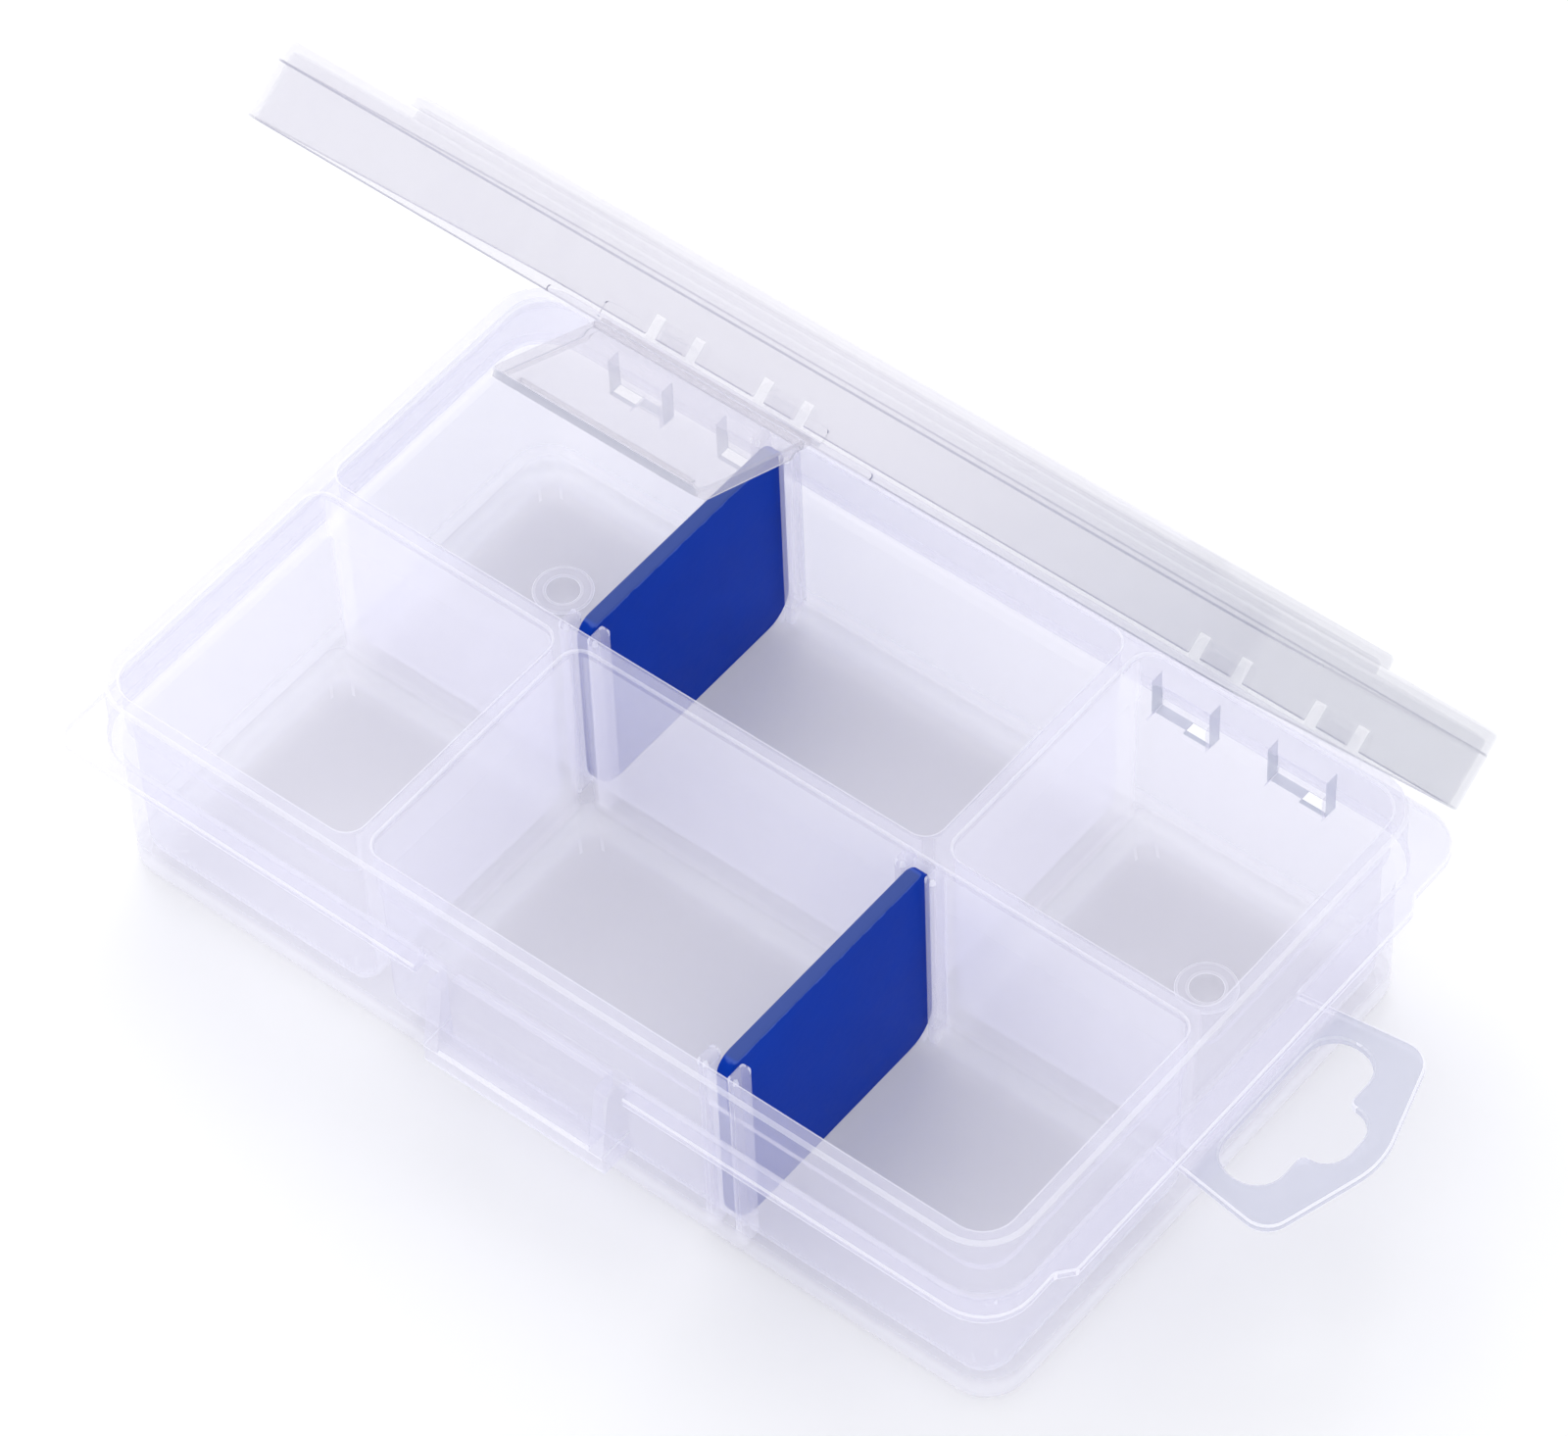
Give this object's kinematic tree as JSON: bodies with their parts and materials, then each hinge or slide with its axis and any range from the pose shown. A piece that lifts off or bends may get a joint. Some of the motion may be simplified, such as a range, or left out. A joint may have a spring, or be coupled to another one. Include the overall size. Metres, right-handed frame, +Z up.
{
  "type": "fishing tackle box",
  "caption": "Small translucent pocket tackle box with compartments, lift-out dividers, a hinged lid, a latch flap and a hanging tab.",
  "frame": {"origin": "centre of the tub's underside, on the surface it rests on", "axes": "+X to the right along the long side towards the hanging tab, +Y back to the hinge, +Z up"},
  "size_m": [0.189, 0.1175, 0.1313],
  "materials": {
    "tub_plastic": "frosted translucent polypropylene, softly glossy",
    "lid_plastic": "clear to hazy polypropylene, satin inside, glossy edges",
    "divider_plastic": "opaque royal blue polypropylene, fine satin moulding texture",
    "latch_plastic": "clear thin polypropylene flap with a whitened lip"
  },
  "bodies": {
    "tub": {"tub_floor": "tub_plastic", "front_wall": "tub_plastic", "left_wall": "tub_plastic", "right_wall": "tub_plastic", "corner_walls": "tub_plastic", "back_wall": "tub_plastic", "centre_wall": "tub_plastic", "back_cross_wall": "tub_plastic", "back_divider_guides": "tub_plastic", "front_cross_wall": "tub_plastic", "front_divider_guides": "tub_plastic", "front_flange": "tub_plastic", "back_flange": "tub_plastic", "left_flange": "tub_plastic", "right_flange": "tub_plastic", "flange_corners": "tub_plastic", "catch_bar": "tub_plastic", "catch_cheeks": "tub_plastic", "catch_pocket_back": "tub_plastic", "hang_tab": "tub_plastic", "hinge_ears": "tub_plastic", "hinge_pins": "tub_plastic"},
    "lid": {"lid_panel": "lid_plastic", "lid_front_skirt": "lid_plastic", "lid_back_skirt": "lid_plastic", "lid_left_skirt": "lid_plastic", "lid_right_skirt": "lid_plastic", "lid_corner_skirts": "lid_plastic", "lid_knuckles": "lid_plastic"},
    "latch": {"latch_flap": "latch_plastic", "latch_sides": "latch_plastic", "latch_hook": "latch_plastic", "latch_living_hinge": "latch_plastic"},
    "back_divider": {"back_divider": "divider_plastic"},
    "front_divider": {"front_divider": "divider_plastic"}
  },
  "joints": [
    {"name": "lid_hinge", "type": "hinge", "parent": "tub", "child": "lid", "pos_m": [0, 0.056, 0.03], "axis": [-1, 0, 0], "range_deg": [-55.5, 64.5]},
    {"name": "latch_hinge", "type": "hinge", "parent": "lid", "child": "latch", "pos_m": [0, -0.00543, 0.11798], "axis": [-1, 0, 0], "range_deg": [-52, 80], "stiffness_Nm_per_rad": 0.02},
    {"name": "back_divider_lift", "type": "slide", "parent": "tub", "child": "back_divider", "axis": [0, 0, 1], "range_m": [0, 0.001]},
    {"name": "front_divider_lift", "type": "slide", "parent": "tub", "child": "front_divider", "axis": [0, 0, 1], "range_m": [0, 0.001]}
  ]
}
